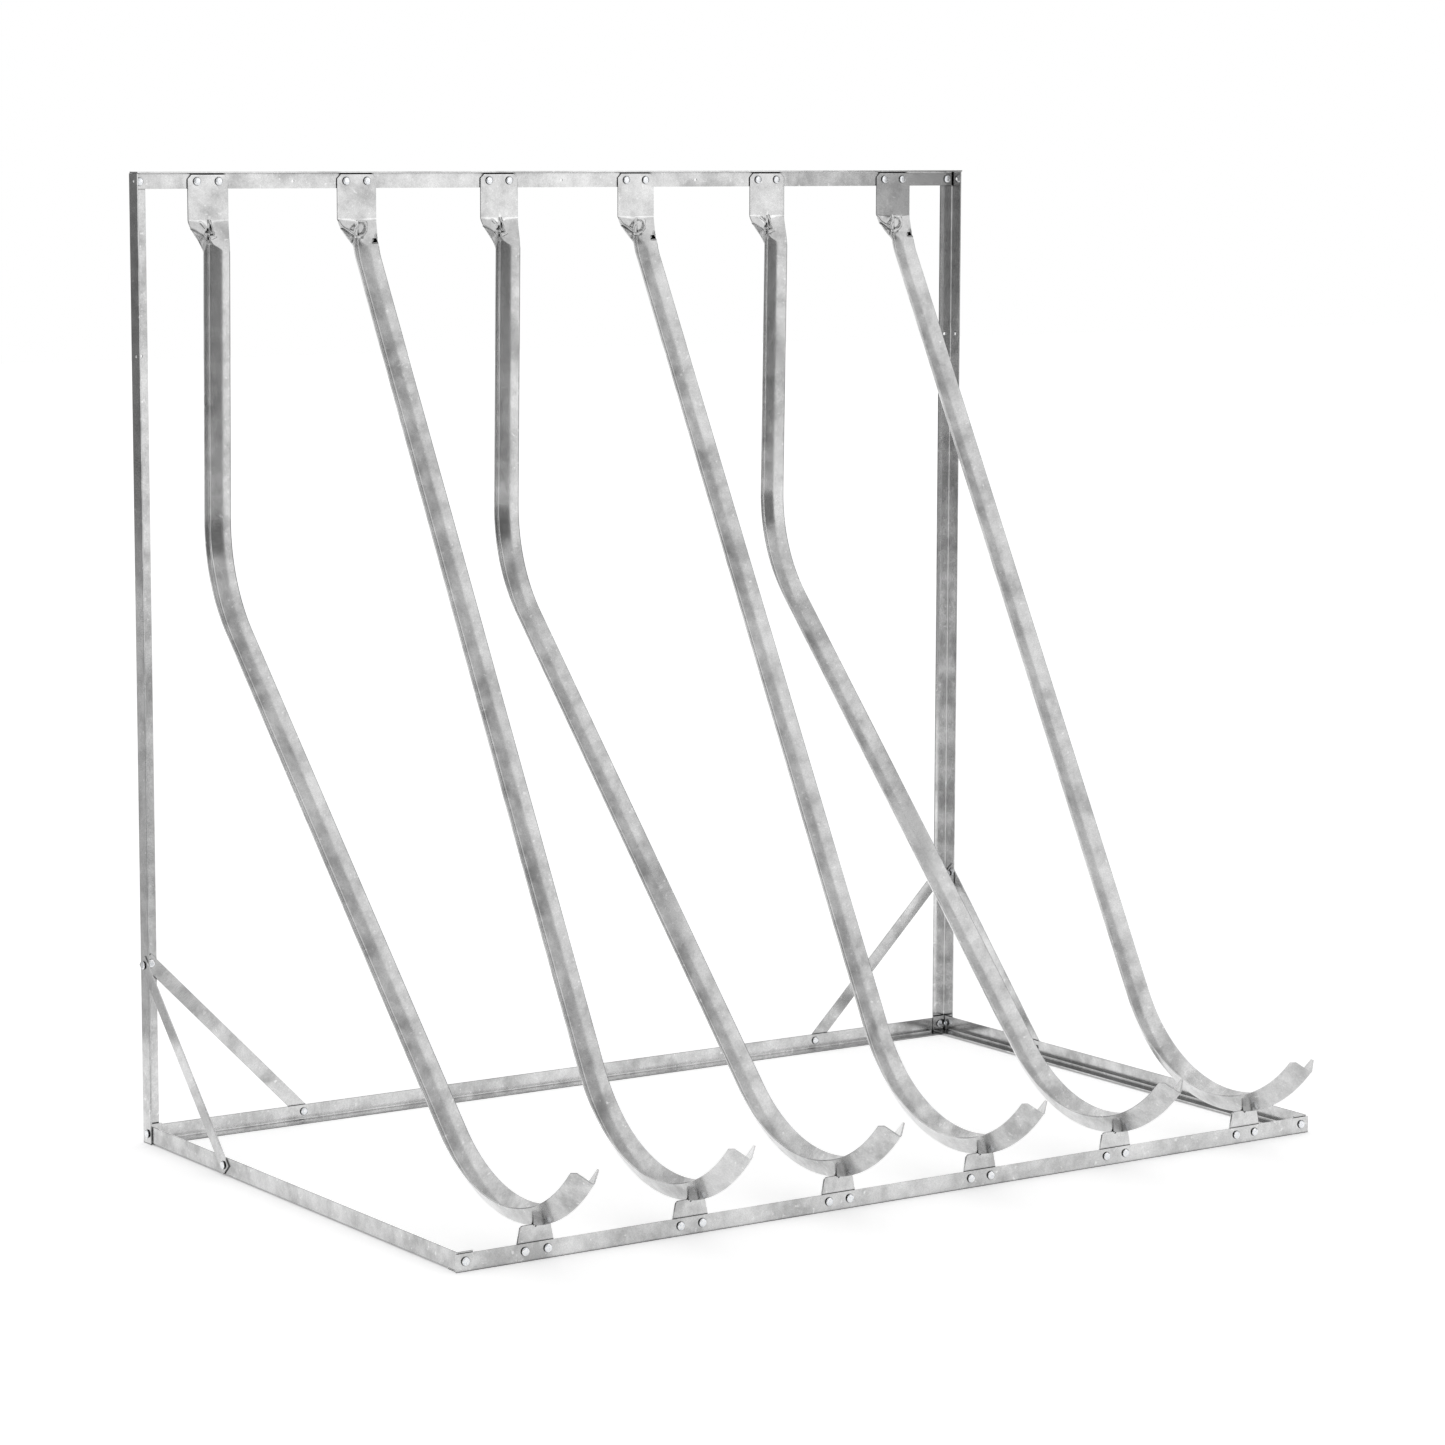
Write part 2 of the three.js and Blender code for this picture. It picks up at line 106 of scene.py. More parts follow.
def zinc_coat(name, pale, mid, dark, roughness):
    """A metal with soft clouds, crystals, white specks, and painted shade, darker lines where two pieces meet
    closely.
    """
    material = bpy.data.materials.new(name)
    material.use_nodes = True
    tree = material.node_tree
    surface = tree.nodes["Principled BSDF"]
    place = add_node(tree, "ShaderNodeTexCoord").outputs["Object"]
    clouds = add_node(tree, "ShaderNodeTexNoise",
                      {"Scale": 1 / cloud_size, "Detail": 4, "Roughness": 0.6}, {"Vector": place})
    drift = add_node(tree, "ShaderNodeTexNoise",
                     {"Scale": 1 / drift_size, "Detail": 2, "Roughness": 0.5}, {"Vector": place})
    patches = add_node(tree, "ShaderNodeMix", {"data_type": "FLOAT", "Factor": drift_share},
                       {2: clouds.outputs["Fac"], 3: drift.outputs["Fac"]})
    tint = add_node(tree, "ShaderNodeValToRGB", links={0: patches.outputs[0]},
                    stops=((dark_patch, linear(dark)), (mid_patch, linear(mid)), (pale_patch, linear(pale))))
    spangle = add_node(tree, "ShaderNodeTexVoronoi", {"Scale": 1 / spangle_size}, {"Vector": place})
    crystal = add_node(tree, "ShaderNodeValToRGB", links={0: spangle.outputs["Color"]},
                       stops=((0.0, spangle_shade), (1.0, 1.0)))
    frosted = add_node(tree, "ShaderNodeMix", multiply, {6: tint.outputs[0], 7: crystal.outputs[0]})
    grit = add_node(tree, "ShaderNodeTexNoise",
                    {"Scale": 1 / grit_size, "Detail": 1, "Roughness": 0.5}, {"Vector": place})
    grains = add_node(tree, "ShaderNodeValToRGB", links={0: grit.outputs["Fac"]},
                      stops=((noise_low, grit_shade), (noise_high, 1.0)))
    grained = add_node(tree, "ShaderNodeMix", multiply, {6: frosted.outputs[2], 7: grains.outputs[0]})
    drips = add_node(tree, "ShaderNodeTexNoise",
                     {"Scale": 1 / speck_size, "Detail": 1.5, "Roughness": 0.4}, {"Vector": place})
    specks = add_node(tree, "ShaderNodeValToRGB", links={0: drips.outputs["Fac"]},
                      stops=((speck_start, 0.0), (speck_full, speck_strength)))
    dusted = add_node(tree, "ShaderNodeMix", {"data_type": "RGBA", 7: linear(zinc_speck)},
                      {0: specks.outputs[0], 6: grained.outputs[2]})
    # Painted shade: the colour is darkened where another surface lies close, as a shadow would darken it.
    near = add_node(tree, "ShaderNodeAmbientOcclusion",
                    {"samples": shade_samples, "Distance": painted_crevice_shade_reach})
    painted_shade = add_node(tree, "ShaderNodeValToRGB", links={0: near.outputs["AO"]},
                       stops=((painted_crevice_shade_closed, painted_crevice_shade_darkest), (painted_crevice_shade_open, 1.0)))
    shaded = add_node(tree, "ShaderNodeMix", multiply, {6: dusted.outputs[2], 7: painted_shade.outputs[0]})
    tree.links.new(shaded.outputs[2], surface.inputs["Base Color"])
    dull = add_node(tree, "ShaderNodeMapRange",
                    {"From Min": noise_low, "From Max": noise_high,
                     "To Min": roughness + duller, "To Max": roughness - brighter},
                    {"Value": patches.outputs[0]})
    tree.links.new(dull.outputs["Result"], surface.inputs["Roughness"])
    surface.inputs["Metallic"].default_value = 1
    return material


galvanised = zinc_coat("hot_dip_galvanised_steel", zinc_pale, zinc_mid, zinc_dark, zinc_roughness)

# Arrises: painted shade. The bevels take a much darker zinc, which draws a fine dark line round every bar and
# sheet.
edge_shade_pale, edge_shade_mid, edge_shade_dark = "#6E7071", "#5C5E5F", "#4B4D4E"
edge_shade_dulling = 0.12
painted_edge_shade = zinc_coat("galvanised_cut_edge", edge_shade_pale, edge_shade_mid, edge_shade_dark, zinc_roughness + edge_shade_dulling)


def start_work(piece):
    """Puts one object alone on the bench, with nothing else selected."""
    bpy.ops.object.select_all(action="DESELECT")
    piece.select_set(True)
    bpy.context.view_layer.objects.active = piece


def coat(piece):
    """Galvanised faces, with the second slot kept for the arrises, which carry painted shade."""
    piece.data.materials.clear()
    piece.data.materials.append(galvanised)
    piece.data.materials.append(painted_edge_shade)
    for face in piece.data.polygons:
        face.material_index = 0


def clean_copy(name):
    """The solid of a bar as a mesh of its own: one skin, with whole faces."""
    bar = bpy.data.objects.new(name + "_bar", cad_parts[name].data.copy())
    bpy.context.collection.objects.link(bar)
    coat(bar)
    start_work(bar)
    bpy.ops.object.mode_set(mode="EDIT")
    bpy.ops.mesh.select_all(action="SELECT")
    bpy.ops.mesh.remove_doubles(threshold=same_point)
    bpy.ops.mesh.dissolve_limited(angle_limit=same_plane)
    bpy.ops.object.mode_set(mode="OBJECT")
    return bar


def soften(piece, width, limit=arris_angle):
    """Takes the sharp edges off and lets the large faces keep their own shading."""
    start_work(piece)
    bpy.ops.object.shade_smooth()
    edge = piece.modifiers.new("arris", "BEVEL")
    edge.width = width
    edge.segments = arris_steps
    edge.angle_limit = math.radians(limit)
    # The bevels take the last slot: the darker zinc that paints shade along the arrises.
    edge.material = len(piece.data.materials) - 1
    weight = piece.modifiers.new("shading", "WEIGHTED_NORMAL")
    weight.keep_sharp = True
    for modifier in ("arris", "shading"):
        bpy.ops.object.modifier_apply(modifier=modifier)


def finish_piece(piece, slot, *nodes):
    """Fixes a piece to the rack's one body, in the place of its node where it has one."""
    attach(piece, "root")
    if nodes:
        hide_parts(*nodes)


for name in ("post_left", "post_right", "rail_top", "rail_rear", "rail_front",
             "rail_side_left", "rail_side_right"):
    bar = clean_copy(name)
    soften(bar, arris)
    finish_piece(bar, "galvanised", name)

# Corner braces: 30 x 3 mm flat bar, sheared to length, drilled and joggled by its own thickness so
# that one end lies on the post and the other on the floor rail. Galvanised like the bars.
for name in ("brace_rear_left", "brace_rear_right", "brace_side_left", "brace_side_right"):
    brace = clean_copy(name)
    soften(brace, arris)
    finish_piece(brace, "galvanised", name)

# Wheel channels: a 93 mm wide blank of 2.5 mm sheet steel, folded lengthwise to a vee, rolled to the
# crank and the hook, its upper end pressed flat again to a mounting plate with cut corners.
channel_count = 6
blank_half = 46.6 * mm
sheet = 2.5 * mm
sheet_arris, sheet_arris_angle = 0.4 * mm, 75
wing_angle = math.radians(38.5)
ridge_radius = 5.5 * mm
plate_height = 95 * mm
plate_corner = 9 * mm
fold_length = 63 * mm
ridge_fold_share = 0.7
bend_ease = 4 * mm
run_set_back = 12 * mm
crank_drop, crank_radius = 708 * mm, 352 * mm
slope_drop, slope_radius = 131 * mm, 130 * mm
hook_radius, hook_height, hook_reach = 361 * mm, 55 * mm, 75 * mm
hook_tip = math.radians(136)
hook_tail = 26 * mm
tip_corner = 10 * mm
plate_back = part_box("channel_2")[1].y
plate_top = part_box("channel_2")[1].z
front_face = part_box("rail_front")[0].y
fold_top = plate_top - plate_height
plate_rows, ease_rows, fold_rows, straight_rows = 8, 4, 63, 12
bend_rows, slope_rows, hook_rows = 18, 14, 48


def on_arc(y, z, radius, turn):
    """The point of an arc round (y, z) where the channel has turned so far from upright."""
    return y + radius * math.cos(turn), z - radius * math.sin(turn)


def ridge_line(cranked):
    """Stations down the ridge: (y, z, turn from upright, half width of the blank)."""
    drop, radius, back = ((crank_drop, crank_radius, run_set_back) if cranked
                          else (slope_drop, slope_radius, 0))
    start_y, start_z = plate_back + back, plate_top - drop
    lean = -math.atan2(back, fold_top - start_z)
    bend_y, bend_z = start_y - radius * math.cos(lean), start_z + radius * math.sin(lean)
    hook_y, hook_z = front_face + hook_reach, hook_height + hook_radius
    dy, dz = bend_y - hook_y, bend_z - hook_z
    slope = math.acos((hook_radius - radius) / math.hypot(dy, dz)) - math.atan2(dz, dy)
    stations = []
    for z in (plate_top, plate_top - plate_corner / 2, plate_top - plate_corner):
        cut = plate_corner - (plate_top - z)
        stations.append((plate_back, z, 0, blank_half - cut))
    for i in range(1, plate_rows + 1):
        fall = -bend_ease - (plate_height - plate_corner - bend_ease) * (1 - i / plate_rows)
        stations.append((plate_back, fold_top - fall, 0, blank_half))
    for i in range(1, ease_rows + 1):
        stations.append((plate_back, fold_top + bend_ease * (1 - i / ease_rows), 0, blank_half))
    run = fold_top - start_z
    falls = [fold_length * i / fold_rows for i in range(1, fold_rows + 1)]
    falls = [fall for fall in falls if fall < run]
    if cranked:
        falls += [fold_length + (run - fold_length) * i / straight_rows for i in range(1, straight_rows)]
    for fall in falls:
        stations.append((plate_back - math.tan(lean) * fall, fold_top - fall, lean, blank_half))
    for i in range(bend_rows + 1):
        turn = lean + (slope - lean) * i / bend_rows
        stations.append((*on_arc(bend_y, bend_z, radius, turn), turn, blank_half))
    end_y, end_z = stations[-1][:2]
    hook_start_y, hook_start_z = on_arc(hook_y, hook_z, hook_radius, slope)
    for i in range(1, slope_rows):
        k = i / slope_rows
        y, z = end_y + (hook_start_y - end_y) * k, end_z + (hook_start_z - end_z) * k
        stations.append((y, z, slope, blank_half))
    for i in range(hook_rows + 1):
        turn = slope + (hook_tip - slope) * i / hook_rows
        stations.append((*on_arc(hook_y, hook_z, hook_radius, turn), turn, blank_half))
    tip_y, tip_z = stations[-1][:2]
    for cut in (0, tip_corner / 2, tip_corner):
        along = hook_tail - (tip_corner - cut)
        y, z = tip_y - math.sin(hook_tip) * along, tip_z - math.cos(hook_tip) * along
        stations.append((y, z, hook_tip, blank_half - cut))
    return stations


def vee(across):
    """Where a point of the blank lies in the finished vee: sideways, and forward of the sharp corner."""
    keep = ridge_radius / math.tan(wing_angle)
    bent = (ridge_radius - sheet / 2) * (math.pi / 2 - wing_angle)
    side, s = math.copysign(1, across), abs(across)
    low = ridge_radius / math.sin(wing_angle) - ridge_radius
    if s <= bent:
        angle = s / (ridge_radius - sheet / 2)
        return side * ridge_radius * math.sin(angle), low + ridge_radius * (1 - math.cos(angle))
    out = keep + s - bent
    return side * out * math.sin(wing_angle), out * math.cos(wing_angle)


def fold(across, fall):
    """The free edges run straight from the plate to the vee, which is whole sooner at the ridge."""
    eased = (fall + bend_ease) ** 2 / (4 * bend_ease) if abs(fall) < bend_ease else fall
    reach = fold_length * (ridge_fold_share + (1 - ridge_fold_share) * min(abs(across) / blank_half, 1))
    share = min(max(eased / reach, 0), 1)
    folded = (share + (1 - math.cos(math.pi * share)) / 2) / 2
    side, forward = vee(across)
    return across + (side - across) * folded, forward * folded


# Press marks, where the vee runs out into the plate: pressed lines, pockets and a buckled flat. All
# their places and sizes are in millimetres on the flat blank, across from the ridge and down from
# the foot of the plate. A line of positive depth stands forward, and a pocket goes back.
marks_start, marks_end = -4, 62
pocket_wall, pocket_lead = 4, 1
rim_away, rim_width = 2.2, 1.8
lip_width = 2.5
far_off = 100


def crease(s, fall, points, width, depth):
    """A pressed line along points of the blank."""
    nearest = far_off
    for (ax, ay), (bx, by) in zip(points, points[1:]):
        length = math.hypot(bx - ax, by - ay)
        k = min(max(((s - ax) * (bx - ax) + (fall - ay) * (by - ay)) / length ** 2, 0), 1)
        nearest = min(nearest, math.hypot(s - ax - k * (bx - ax), fall - ay - k * (by - ay)))
    return depth * math.exp(-(nearest / width) ** 2)


def beyond(s, fall, start, end):
    """How far a point of the blank lies to the right of a line, seen along it."""
    (ax, ay), (bx, by) = start, end
    return ((bx - ax) * (fall - ay) - (by - ay) * (s - ax)) / math.hypot(bx - ax, by - ay)


def pocket(s, fall, corners, depth, rim):
    """A dent inside an outline given clockwise, with a raised rim."""
    inside = min(beyond(s, fall, a, b) for a, b in zip(corners, corners[1:] + corners[:1]))
    sunk = min(max((inside + pocket_lead) / pocket_wall, 0), 1)
    dent = -depth * sunk * sunk * (3 - 2 * sunk)
    return dent + rim * math.exp(-((inside + rim_away) / rim_width) ** 2)


def buckle(s, fall, hinge, lips, slope):
    """A flat that tilts back from its hinge line and comes up again at its lips."""
    depth = slope * max(beyond(s, fall, *hinge), 0)
    for lip in lips:
        depth *= min(max(beyond(s, fall, *lip) / lip_width, 0), 1)
    return -depth


cranked_marks = (
    (crease, ((0, 8), (0, 46)), 1.6, 2),
    (pocket, ((3, 4), (12.8, 24), (12.2, 28.2), (3, 30)), 4.2, 1),
    (pocket, ((-2, 15), (-2, 24), (-13, 24)), 3, 0.8),
    (crease, ((-46, 16), (-18.4, 31.8)), 1.8, -3.2),
    (crease, ((-18, 4), (-6, 20)), 2.6, 1.4),
    (crease, ((-4, 35), (-9, 46)), 1.9, -2.8),
    (crease, ((16, 12), (17, 31), (5, 34)), 2.4, 1.6))
straight_marks = (
    (crease, ((0.8, 5), (0, 19), (-4, 26), (-6, 35), (0, 44)), 2, 2.2),
    (pocket, ((3, 5), (17.6, 7), (19.4, 18.6), (14, 28), (1, 33)), 4.5, 1),
    (pocket, ((-6.4, 9), (-2.8, 12.6), (-14, 24), (-24.4, 20)), 3.6, 0.8),
    (crease, ((-46, 3), (-42.4, 16), (-25.6, 27.6), (-8.8, 35)), 2.4, 2.6),
    (crease, ((-46, 18), (-30, 31), (-14, 38)), 1.8, -2.8),
    (crease, ((21.5, 7), (20.5, 23), (11.6, 34), (0, 38)), 2.4, 2.2),
    (buckle, ((26, 52), (48, 21)), (((49, 53), (26, 52)), ((47, 20), (47, 53))), 0.9))


def press_marks(s, fall, cranked):
    """How far the press pushed the sheet forward at a point of the blank, in millimetres."""
    if not marks_start < fall < marks_end:
        return 0
    marks = cranked_marks if cranked else straight_marks
    return sum(shape(s, fall, *values) for shape, *values in marks)


# The blank's grid has narrow columns near the ridge, and then wider ones, as shares of half its width.
narrow_columns, narrow_per_half = 15, 56
wide_start, wide_step, wide_columns = 0.25, 0.03, 25
columns = [c / narrow_per_half for c in range(narrow_columns)]
columns += [wide_start + wide_step * (c + 1) for c in range(wide_columns)]
columns = sorted(set([-c for c in columns] + columns))


def folded_channel(name, x, cranked):
    """The blank as a grid, one row for each station, folded, rolled, then given its thickness."""
    stations = ridge_line(cranked)
    bpy.ops.object.select_all(action="DESELECT")
    bpy.ops.mesh.primitive_grid_add(x_subdivisions=len(columns) - 1,
                                    y_subdivisions=len(stations) - 1, size=2)
    channel = bpy.context.object
    channel.name = name
    coat(channel)
    blank = channel.data.attributes.new("blank", "FLOAT_VECTOR", "POINT")
    for vertex in channel.data.vertices:
        column = round((vertex.co.x + 1) / 2 * (len(columns) - 1))
        row = round((1 - vertex.co.y) / 2 * (len(stations) - 1))
        y, z, turn, half = stations[row]
        side, forward = fold(columns[column] * half, fold_top - z)
        vertex.co = (x + side, y - forward * math.cos(turn), z + forward * math.sin(turn))
        blank.data[vertex.index].vector = (columns[column] * half / mm, (fold_top - z) / mm, 0)
    start_work(channel)
    bpy.ops.object.mode_set(mode="EDIT")
    bpy.ops.mesh.select_all(action="SELECT")
    bpy.ops.mesh.flip_normals()
    bpy.ops.object.mode_set(mode="OBJECT")
    wall = channel.modifiers.new("wall", "SOLIDIFY")
    wall.thickness = sheet
    wall.offset = -1
    wall.use_even_offset = True
    bpy.ops.object.modifier_apply(modifier="wall")
    blank = channel.data.attributes["blank"].data
    for vertex in channel.data.vertices:
        s, fall, _ = blank[vertex.index].vector
        vertex.co.y -= press_marks(s, fall, cranked) * mm
    channel.data.attributes.remove(channel.data.attributes["blank"])
    return channel


for i in range(channel_count):
    node_name = f"channel_{i + 1}"
    low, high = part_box(node_name)
    channel = folded_channel(f"wheel_channel_{i + 1}", (low.x + high.x) / 2, i % 2 == 0)
    soften(channel, sheet_arris, sheet_arris_angle)
    finish_piece(channel, "galvanised", node_name)

# Foot plates: 4 mm plate under each hook, cut to a taper with rounded top corners. A shallow groove
# in its top seats the ridge of the hook, to which it is welded, and it is bolted to the front rail.
# It stands behind the rail's 3 mm leg, with the 0.3 mm that is left between sheets.
foot_steel = 4 * mm
foot_bottom = 8 * mm
foot_base, foot_top_width = 80 * mm, 66 * mm
foot_corner, foot_corner_steps = 6 * mm, 6
foot_rise = 3 * mm
foot_set_back = 3.3 * mm
groove_play = 0.4 * mm
notch_radius = 3 * mm
notch_rise = 1 * mm
cutter_sides = 32
rail_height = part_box("rail_front")[1].z
rail_back = front_face + foot_set_back
ridge_low = ridge_radius / math.sin(wing_angle) - ridge_radius
ridge_at_plate = (ridge_low + hook_height + hook_radius
                  - math.sqrt(hook_radius ** 2 - (hook_reach - foot_set_back) ** 2))
foot_top = ridge_at_plate + foot_rise


def foot_plate(x):
    """A block narrowed to its taper, its top corners rounded, then cut for the ridge and the notch."""
    bpy.ops.object.select_all(action="DESELECT")
    bpy.ops.mesh.primitive_cube_add(
        size=1, location=(x, rail_back + foot_steel / 2, (foot_bottom + foot_top) / 2),
        scale=(foot_base, foot_steel, foot_top - foot_bottom))
    plate = bpy.context.object
    coat(plate)
    bpy.ops.object.transform_apply()
    bpy.ops.object.mode_set(mode="EDIT")
    bpy.ops.mesh.select_all(action="SELECT")
    bpy.ops.mesh.bisect(plane_co=(0, 0, rail_height), plane_no=(0, 0, 1))
    bpy.ops.mesh.select_all(action="DESELECT")
    bpy.ops.mesh.select_mode(type="EDGE")
    work = bmesh.from_edit_mesh(plate.data)
    for vertex in work.verts:
        if vertex.co.z > foot_top - mm:
            vertex.co.x = x + (vertex.co.x - x) * foot_top_width / foot_base
    for edge in work.edges:
        edge.select = (all(v.co.z > foot_top - mm for v in edge.verts)
                       and abs(edge.verts[0].co.x - edge.verts[1].co.x) < mm)
    bmesh.update_edit_mesh(plate.data)
    bpy.ops.mesh.bevel(offset=foot_corner, segments=foot_corner_steps, affect="EDGES")
    bpy.ops.mesh.select_mode(type="VERT")
    bpy.ops.object.mode_set(mode="OBJECT")
    for radius, height in ((ridge_radius + groove_play, ridge_at_plate + ridge_radius),
                           (notch_radius, ridge_at_plate + notch_rise)):
        bpy.ops.mesh.primitive_cylinder_add(vertices=cutter_sides, radius=radius, depth=3 * foot_steel,
                                            location=(x, rail_back + foot_steel / 2, height),
                                            rotation=(math.pi / 2, 0, 0))
        cutter = bpy.context.object
        start_work(plate)
        groove = plate.modifiers.new("groove", "BOOLEAN")
        groove.object = cutter
        groove.operation = "DIFFERENCE"
        bpy.ops.object.modifier_apply(modifier="groove")
        bpy.data.objects.remove(cutter)
    return plate


for i in range(channel_count):
    low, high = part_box(f"channel_{i + 1}")
    plate = foot_plate((low.x + high.x) / 2)
    plate.name = f"foot_plate_{i + 1}"
    soften(plate, arris)
    finish_piece(plate, "galvanised")

# Bolts: M6 cup-head bolts with hexagon nuts, bright zinc-plated steel, pushed through from the
# outside and from the front. One is modelled and copied, and each copy is set to its grip. The
# head's rings are given by radius and height in millimetres, from its wall to the top of its dome.
head_radius = 8.25 * mm
head_profile = [(8.25, 2.7), (8.0, 3.25), (7.2, 3.6), (5.6, 3.8), (3.0, 3.88)]
head_height = 3.9 * mm
head_sides, shank_sides, nut_sides = 32, 24, 6
bolt_radius = 3 * mm
nut_width, nut_height = 10 * mm, 5 * mm
nut_arris, shank_arris = 0.5 * mm, 0.4 * mm
thread_end = 2 * mm
model_length = 20 * mm

# Bright zinc plating: smoother and paler than the dipped zinc, with a faint cloudiness, and painted shade,
# nearly black, in the narrow line where a head or nut meets the sheet.
plating_pale, plating_dark = "#F6F6F7", "#DFE2E6"
plating_dull, plating_bright = 0.28, 0.18
film_size = 4 * mm
painted_seat_shade_reach = 8 * mm
painted_seat_shade_closed, painted_seat_shade_open, painted_seat_shade_darkest = 0.66, 0.86, 0.01
plated = bpy.data.materials.new("bright_zinc_plated_steel")
plated.use_nodes = True
tree = plated.node_tree
surface = tree.nodes["Principled BSDF"]
place = add_node(tree, "ShaderNodeTexCoord").outputs["Object"]
film = add_node(tree, "ShaderNodeTexNoise", {"Scale": 1 / film_size, "Detail": 2}, {"Vector": place})
sheen = add_node(tree, "ShaderNodeValToRGB", links={0: film.outputs["Fac"]},
                 stops=((noise_low, linear(plating_dark)), (noise_high, linear(plating_pale))))
# Painted shade: the colour goes nearly black where the sheet lies close, round the foot of each head and nut.
near = add_node(tree, "ShaderNodeAmbientOcclusion", {"samples": shade_samples, "Distance": painted_seat_shade_reach})
painted_shade = add_node(tree, "ShaderNodeValToRGB", links={0: near.outputs["AO"]},
                   stops=((painted_seat_shade_closed, painted_seat_shade_darkest), (painted_seat_shade_open, 1.0)))
shaded = add_node(tree, "ShaderNodeMix", multiply, {6: sheen.outputs[0], 7: painted_shade.outputs[0]})
tree.links.new(shaded.outputs[2], surface.inputs["Base Color"])
polish = add_node(tree, "ShaderNodeMapRange",
                  {"From Min": noise_low, "From Max": noise_high,
                   "To Min": plating_dull, "To Max": plating_bright},
                  {"Value": film.outputs["Fac"]})
tree.links.new(polish.outputs["Result"], surface.inputs["Roughness"])
surface.inputs["Metallic"].default_value = 1


def rise(radius_factor, height):
    """Draws the selected ring up by a step and widens or narrows it."""
    bpy.ops.mesh.extrude_region_move(TRANSFORM_OT_translate={"value": (0, 0, height)})
    bpy.ops.transform.resize(value=(radius_factor, radius_factor, 1))


bpy.ops.object.select_all(action="DESELECT")
bpy.ops.mesh.primitive_circle_add(vertices=head_sides, radius=head_radius, fill_type="NGON",
                                  location=(0, 0, -head_height))
bolt = bpy.context.object
bpy.ops.object.transform_apply()
bpy.ops.object.mode_set(mode="EDIT")
bpy.ops.mesh.select_all(action="SELECT")
radius, height = head_radius / mm, 0
for next_radius, next_height in head_profile:
    rise(next_radius / radius, (next_height - height) * mm)
    radius, height = next_radius, next_height
bpy.ops.mesh.select_all(action="SELECT")
bpy.ops.mesh.normals_make_consistent(inside=False)
bpy.ops.object.mode_set(mode="OBJECT")
bolt.data.transform(Matrix.Rotation(math.pi, 4, "X"))

bpy.ops.mesh.primitive_cylinder_add(vertices=shank_sides, radius=bolt_radius,
                                    depth=model_length - head_height,
                                    location=(0, 0, (model_length + head_height) / 2))
shank = bpy.context.object
bpy.ops.object.transform_apply()
bpy.ops.mesh.primitive_cylinder_add(vertices=nut_sides, radius=nut_width / math.sqrt(3), depth=nut_height,
                                    location=(0, 0, model_length - thread_end - nut_height / 2))
nut = bpy.context.object
bpy.ops.object.transform_apply()
soften(nut, nut_arris)
soften(shank, shank_arris)
bpy.ops.object.select_all(action="DESELECT")
for part in (shank, nut, bolt):
    part.select_set(True)
bpy.context.view_layer.objects.active = bolt
bpy.ops.object.join()
bpy.ops.object.shade_smooth_by_angle(angle=math.radians(arris_angle))
bolt.data.materials.clear()
bolt.data.materials.append(plated)

for name in sorted(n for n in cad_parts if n.startswith("bolt_")):
    low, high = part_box(name)
    middle = (low + high) / 2
    sideways = "_side_" in name
    length = (high - low).x if sideways else (high - low).y
    copy = bpy.data.objects.new(name.replace("bolt", "cup_bolt"), bolt.data.copy())
    bpy.context.collection.objects.link(copy)
    for vertex in copy.data.vertices:
        if vertex.co.z > head_height + mm:
            vertex.co.z += length - model_length
    if not sideways:
        turn = Matrix.Rotation(-math.pi / 2, 4, "X")
        seat = Vector((middle.x, low.y, middle.z))
    elif name.endswith("left"):
        turn = Matrix.Rotation(math.pi / 2, 4, "Y")
        seat = Vector((low.x, middle.y, middle.z))
    else:
        turn = Matrix.Rotation(-math.pi / 2, 4, "Y")
        seat = Vector((high.x, middle.y, middle.z))
    copy.data.transform(Matrix.Translation(seat) @ turn)
    finish_piece(copy, "plated", name)
bpy.data.objects.remove(bolt)

# The floor: a plain white studio floor that keeps the soft shadow of the rack and is white to the
# camera and in the metal.
floor_white = "#F7F7F7"
floor_size = 60
floor_glow = 0.31
bpy.ops.object.select_all(action="DESELECT")
bpy.ops.mesh.primitive_plane_add(size=floor_size)
floor = bpy.context.object
floor.name = "floor"
paper = bpy.data.materials.new("white_studio_paper")
paper.use_nodes = True
tree = paper.node_tree
tree.nodes.remove(tree.nodes["Principled BSDF"])
matt = add_node(tree, "ShaderNodeBsdfDiffuse", {"Color": linear(floor_white)})


def seen_directly(tree):
    """1 for what the camera sees, straight on or in metal, and 0 for light that spreads."""
    rays = add_node(tree, "ShaderNodeLightPath")
    mirror = add_node(tree, "ShaderNodeMath", {"operation": "MAXIMUM"},
                      {0: rays.outputs["Is Glossy Ray"], 1: rays.outputs["Is Transmission Ray"]})
    return add_node(tree, "ShaderNodeMath", {"operation": "MAXIMUM"},
                    {0: rays.outputs["Is Camera Ray"], 1: mirror.outputs[0]}).outputs[0]


share = add_node(tree, "ShaderNodeMath", {"operation": "MULTIPLY", 1: floor_glow}, {0: seen_directly(tree)})
glow = add_node(tree, "ShaderNodeEmission", links={"Strength": share.outputs[0]})
both = add_node(tree, "ShaderNodeAddShader")
tree.links.new(matt.outputs[0], both.inputs[0])
tree.links.new(glow.outputs[0], both.inputs[1])
tree.links.new(both.outputs[0], tree.nodes["Material Output"].inputs["Surface"])
floor.data.materials.append(paper)

# The light: white walls all round, and one broad soft lamp high behind the rack, on the right.
wall_light, wall_white = 0.75, 1.0
lamp_place = (2, 2.5, 3)
lamp_spread = math.radians(60)
lamp_strength = 0.4
bpy.context.scene.view_settings.view_transform = "Standard"
world = bpy.data.worlds.new("studio")
bpy.context.scene.world = world
world.use_nodes = True
tree = world.node_tree
background = tree.nodes["Background"]
shade = add_node(tree, "ShaderNodeValToRGB", links={0: seen_directly(tree)},
                 stops=((0, wall_light), (1, wall_white)))
tree.links.new(shade.outputs[0], background.inputs["Color"])

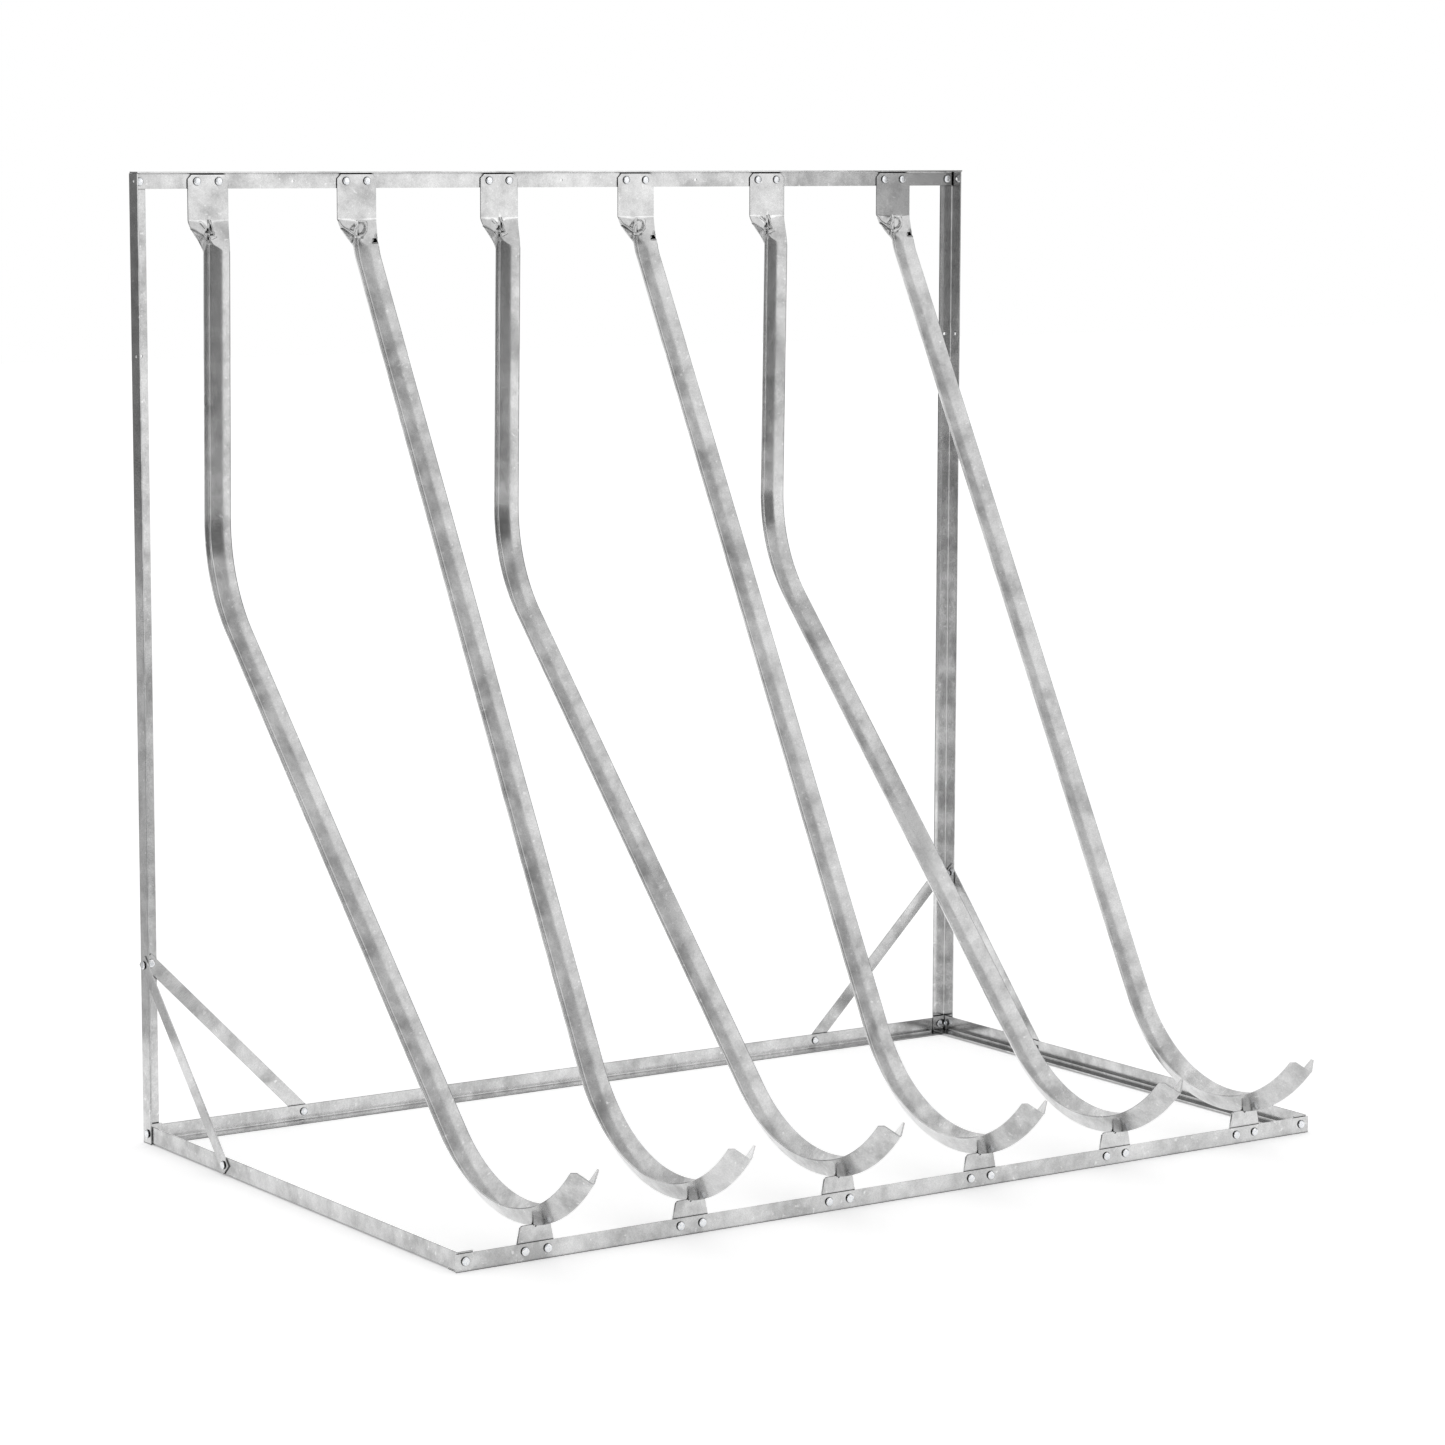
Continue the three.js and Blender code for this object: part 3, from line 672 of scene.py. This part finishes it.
# Screens: four of grey cloth and two lit white ones stand round the set, and two more cloths lie on
# the floor. No camera sees them, and they are there so that the faces of the bright metal differ.
# Each row gives two bearings, counted from the front towards the right, the distances and heights
# of its near or lower edge and its far or upper one, its colour, and how brightly it is lit.
screens = (
    (-56, 16, 13, 13, 0.02, 5.5, "#989898", 1),
    (22, 45.5, 6, 6, 0.02, 4, "#FFFFFF", 1.12),
    (20, 46, 5.8, 5.8, 2.2, 3.4, "#FFFFFF", 1.6),
    (46.5, 75, 6, 6, 0.02, 4, "#888888", 1),
    (85, 125, 13, 13, 0.02, 6, "#5A5A5A", 1),
    (-172, -122, 13, 13, 0.02, 5, "#808080", 1),
    (2, 24, 2, 9, 0.01, 0.01, "#D2D2D2", 1),
    (-172, -128, 2.2, 12, 0.01, 0.01, "#C6C6C6", 1))
screen_parts = 12
for number, (start, end, near_by, far_away, bottom, top, colour, strength) in enumerate(screens):
    bpy.ops.object.select_all(action="DESELECT")
    bpy.ops.mesh.primitive_grid_add(x_subdivisions=screen_parts, y_subdivisions=1, size=2)
    screen = bpy.context.object
    screen.name = f"screen_{number + 1}"
    for vertex in screen.data.vertices:
        part = round((vertex.co.x + 1) / 2 * screen_parts)
        bearing = math.radians(start + (end - start) * part / screen_parts)
        away, height = (far_away, top) if vertex.co.y > 0 else (near_by, bottom)
        vertex.co = (away * math.sin(bearing), -away * math.cos(bearing), height)
    cloth = bpy.data.materials.new(f"screen_cloth_{number + 1}")
    cloth.use_nodes = True
    tree = cloth.node_tree
    tree.nodes.remove(tree.nodes["Principled BSDF"])
    glow = add_node(tree, "ShaderNodeEmission", {"Color": linear(colour), "Strength": strength})
    tree.links.new(glow.outputs[0], tree.nodes["Material Output"].inputs["Surface"])
    screen.data.materials.append(cloth)
    screen.visible_camera = False
    screen.visible_shadow = False
    screen.visible_diffuse = False

bpy.ops.object.light_add(type="SUN", location=lamp_place)
key = bpy.context.object
key.data.angle = lamp_spread
key.data.energy = lamp_strength
key.rotation_euler = (-key.location).to_track_quat("-Z", "Y").to_euler()
key.visible_glossy = False

# The camera: the photograph was taken with a long lens from the front left, a little above the rack.
# Its focal length, place and turn come from a fit to the frame's corners, holes and edges.
photo_width = 1445
focal_pixels = 4348.28
sensor_mm = 36
camera_place = (-5.0626, front_face - 6.7743, 2.0827)
camera_azimuth = math.radians(-34.216)
camera_pitch = math.radians(-7.615)
camera_roll = math.radians(0.156)
bpy.ops.object.camera_add(location=camera_place)
camera = bpy.context.object
camera.name = "camera"
camera.data.sensor_width = sensor_mm
camera.data.lens = focal_pixels / photo_width * sensor_mm
camera.rotation_euler = (Matrix.Rotation(camera_azimuth, 3, "Z")
                         @ Matrix.Rotation(math.pi / 2 + camera_pitch, 3, "X")
                         @ Matrix.Rotation(camera_roll, 3, "Z")).to_euler()
bpy.context.scene.camera = camera
